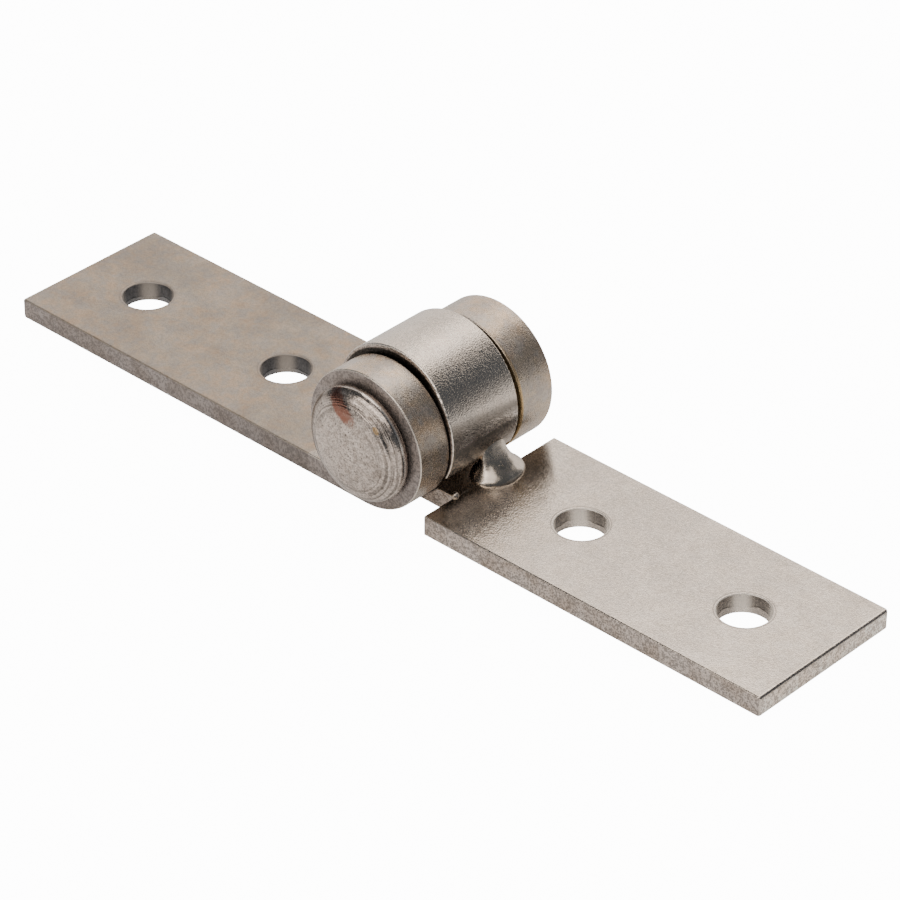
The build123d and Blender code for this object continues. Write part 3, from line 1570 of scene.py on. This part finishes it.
@dataclass
class Leaves:
    """The two leaves: the outer one as packed, and the centre one with its roll leaning."""

    outer: StripFinish
    centre: StripFinish
    roll_height: float = 10.5
    roll_front: float = -5.05
    roll_reach: float = 10.7
    lean: float = 0.46

    def dress(self, nodes: dict[str, Piece], effects: Effects) -> list[Piece]:
        """Leans the loose roll and puts each leaf's finish on it.

        Args:
            nodes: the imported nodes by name.
            effects: the shared surface effects.

        Returns:
            The two dressed leaves.
        """
        outer = nodes["outer_knuckle_leaf"]
        outer.material_slots[0].material = self.outer.build(effects)
        centre = self._leaning_roll(nodes["centre_knuckle_leaf"])
        centre.material_slots[0].material = self.centre.build(effects)
        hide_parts("centre_knuckle_leaf")
        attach(centre, Body.CENTRE.value)
        return [outer, centre]

    def _leaning_roll(self, node: Piece) -> Piece:
        """Copies the centre leaf and draws its roll's front edge towards the front knuckle.

        Args:
            node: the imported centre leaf.

        Returns:
            The copy, merged and smoothed.
        """
        only(node)
        bpy.ops.object.duplicate()
        leaf = bpy.context.object
        del leaf["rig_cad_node"]
        with editing(leaf):
            bpy.ops.mesh.customdata_custom_splitnormals_clear()

        def leaning(point: Vector) -> float:
            """Share of the lean: nothing at the top of the roll, all of it near the free end.

            Args:
                point: a point of the surface.

            Returns:
                The share, from 0 to 1.
            """
            x, y, z = (value / MM for value in point)
            if y > self.roll_front + 0.5 or abs(x) > self.roll_reach:
                return 0.0
            turn = math.degrees(math.atan2(x, z - self.roll_height))
            return ease(turn, 20.0, 65.0) * ease(turn, 124.0, 119.0)

        push(leaf, leaning, "Y", -self.lean * MM)
        settle(leaf, "centre_leaf_rolled", 40.0)
        apply_modifier(leaf, "WEIGHTED_NORMAL", keep_sharp=True)
        return leaf


@dataclass(frozen=True)
class SoftBox:
    """One soft rectangular light, placed by direction as seen from the hinge."""

    name: str
    bearing: float
    elevation: float
    distance: float
    width: float
    height: float
    radiance: float
    colour: Colour = (1.0, 0.91, 0.83)

    def build(self, target: Vector) -> Piece:
        """Adds the light, facing the target.

        Args:
            target: where the hinge is.

        Returns:
            The light's object.
        """
        b, e = math.radians(self.bearing), math.radians(self.elevation)
        out = Vector((math.sin(b) * math.cos(e), math.cos(b) * math.cos(e), math.sin(e)))
        data = bpy.data.lights.new(self.name, "AREA")
        data.shape = "RECTANGLE"
        data.size, data.size_y = self.width, self.height
        data.energy = self.radiance * math.pi * self.width * self.height
        data.color = self.colour
        light = bpy.data.objects.new(self.name, data)
        light.location = target + out * self.distance
        light.rotation_mode = "QUATERNION"
        light.rotation_quaternion = out.to_track_quat("Z", "Y")
        light.visible_camera = False
        bpy.context.scene.collection.objects.link(light)
        return light


@dataclass
class Studio:
    """Floor, soft lights, room and camera."""

    azimuth: float = 42.907
    elevation: float = 33.992
    roll: float = 0.324
    distance: float = 0.544656
    aim: tuple[float, float, float] = (-0.566e-3, 5.736e-3, 0.0)
    lens: float = 165.025
    sensor: float = 36.0
    floor_size: float = 8.0
    room_light: float = 0.11
    room_pale: float = 13.0
    room_colour: Colour = (0.87, 0.97, 1.1)
    boxes: Sequence[SoftBox] = (
        SoftBox("back_panel", -27.0, 24.0, 0.9, 1.7, 0.85, 1.3),
        SoftBox("overhead", -21.0, 62.0, 0.8, 0.5, 0.5, 2.6),
        SoftBox("front_box", -170.0, 38.0, 0.9, 0.6, 0.75, 2.5),
        SoftBox("bead_box", 141.0, 56.0, 0.9, 0.7, 0.5, 2.0),
        SoftBox("low_wall", 52.0, 8.0, 1.0, 1.0, 0.4, 0.1),
    )

    def build(self) -> None:
        """Sets up everything that isn't the part."""
        self._floor()
        self._room()
        for box in self.boxes:
            box.build(Vector(self.aim))
        self._camera()

    def _floor(self) -> None:
        """A wide flat floor under the leaves."""
        bpy.ops.object.select_all(action="DESELECT")
        bpy.ops.mesh.primitive_plane_add(size=self.floor_size, location=(0.0, 0.0, -0.02 * MM))
        floor = bpy.context.object
        floor.name = "floor"
        floor.data.materials.append(FloorFinish().build())

    def _room(self) -> None:
        """Dim even light from the room, pale where the camera looks past the floor."""
        world = bpy.data.worlds.new("room")
        world.use_nodes = True
        bpy.context.scene.world = world
        graph = Graph(world.node_tree)
        sky = graph.node("Background")
        seen = graph.node("LightPath").outputs["Is Camera Ray"]
        graph.feed(sky.inputs["Color"], graph.blend(seen, self.room_colour, (1.0, 1.0, 1.0)))
        graph.feed(sky.inputs["Strength"], graph.between(seen, self.room_light, self.room_pale))
        graph.feed(graph.node("OutputWorld").inputs["Surface"], sky.outputs[0])

    def _camera(self) -> None:
        """The camera at the photograph's angle."""
        a, e, r = (math.radians(v) for v in (self.azimuth, self.elevation, self.roll))
        back = Vector((math.sin(a) * math.cos(e), -math.cos(a) * math.cos(e), math.sin(e)))
        right = Vector((math.cos(a), math.sin(a), 0.0))
        up = back.cross(right)
        turned = right * math.cos(r) + up * math.sin(r)
        upright = up * math.cos(r) - right * math.sin(r)
        data = bpy.data.cameras.new("camera")
        data.lens, data.sensor_width = self.lens, self.sensor
        data.clip_start, data.clip_end = 0.01, 20.0
        camera = bpy.data.objects.new("camera", data)
        facing = Matrix((turned, upright, back)).transposed().to_4x4()
        camera.matrix_world = Matrix.Translation(Vector(self.aim) + back * self.distance) @ facing
        bpy.context.scene.collection.objects.link(camera)
        bpy.context.scene.camera = camera


OUTER_STEEL = StripFinish(
    name="stained_strip",
    skin=(0.39, 0.33, 0.265),
    stain=(0.41, 0.305, 0.215),
    cloud=(0.33, 0.305, 0.28),
    sheared=(0.31, 0.28, 0.268),
    wall=(0.12, 0.12, 0.125),
    edge=(0.46, 0.41, 0.35),
    heat_tint_and_glint=(0.6, 0.42, 0.2),
    roughness=0.36,
    sheared_roughness=0.46,
    mottle_scale=170.0,
    stain_share=0.85,
    grain_scale=5400.0,
    grain_depth=8e-6,
    sheared_depth=14e-6,
    wave_depth=26e-6,
    scratch_amount=0.5,
    streaks=0.5,
    end_face=(0.33, 0.3, 0.285),
    knuckle_roughness=0.28,
    blotch=0.12,
    flare=0.75 * MM,
    lip=(0.42, 0.38, 0.34),
    knuckle_wear_and_highlight=(0.72, 0.66, 0.59),
    metallic=0.8,
    knuckle_painted_light=1.42,
    speckle_depth=12e-6,
    side_speckle=0.26,
    scorch_and_painted_dark=0.3,
    side_darkening=0.24,
    scrape=0.75,
    lip_line=0.25,
    side=-1,
    hole_middle=40.5 * MM,
)

CENTRE_STEEL = StripFinish(
    name="bright_strip",
    skin=(0.69, 0.615, 0.54),
    stain=(0.625, 0.55, 0.47),
    cloud=(0.655, 0.6, 0.54),
    sheared=(0.51, 0.46, 0.425),
    wall=(0.24, 0.22, 0.203),
    edge=(0.45, 0.4, 0.35),
    heat_tint_and_glint=(0.5, 0.4, 0.26),
    roughness=0.17,
    sheared_roughness=0.44,
    mottle_scale=140.0,
    stain_share=0.7,
    grain_scale=5800.0,
    grain_depth=8e-6,
    sheared_depth=22e-6,
    wave_depth=18e-6,
    scratch_amount=0.6,
    streaks=1.0,
    end_face=(0.86, 0.79, 0.72),
    knuckle_roughness=0.12,
    blotch=0.08,
    flare=1.15 * MM,
    lip=(0.96, 0.9, 0.82),
    knuckle_wear_and_highlight=(0.88, 0.82, 0.74),
    metallic=1.0,
    knuckle_painted_light=1.0,
    speckle_depth=16e-6,
    side_speckle=0.34,
    scorch_and_painted_dark=0.64,
    side_darkening=0.0,
    scrape=0.0,
    lip_line=0.5,
    side=1,
    hole_middle=39.6 * MM,
)


def main() -> None:
    """Builds the looks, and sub-assembly by sub-assembly."""
    logging.basicConfig(level=logging.INFO, format="%(name)s: %(message)s")
    effects = Effects()
    pieces = Leaves(OUTER_STEEL, CENTRE_STEEL).dress(frame["nodes"], effects)
    pieces.append(HingePin().build(TurnedFinish(), effects))
    pieces += WeldBead().build(WeldFinish(), effects)
    Studio().build()
    for piece in pieces:
        LOG.info("%s, %d faces", piece.name, len(piece.data.polygons))


if __name__ == "__main__":
    main()
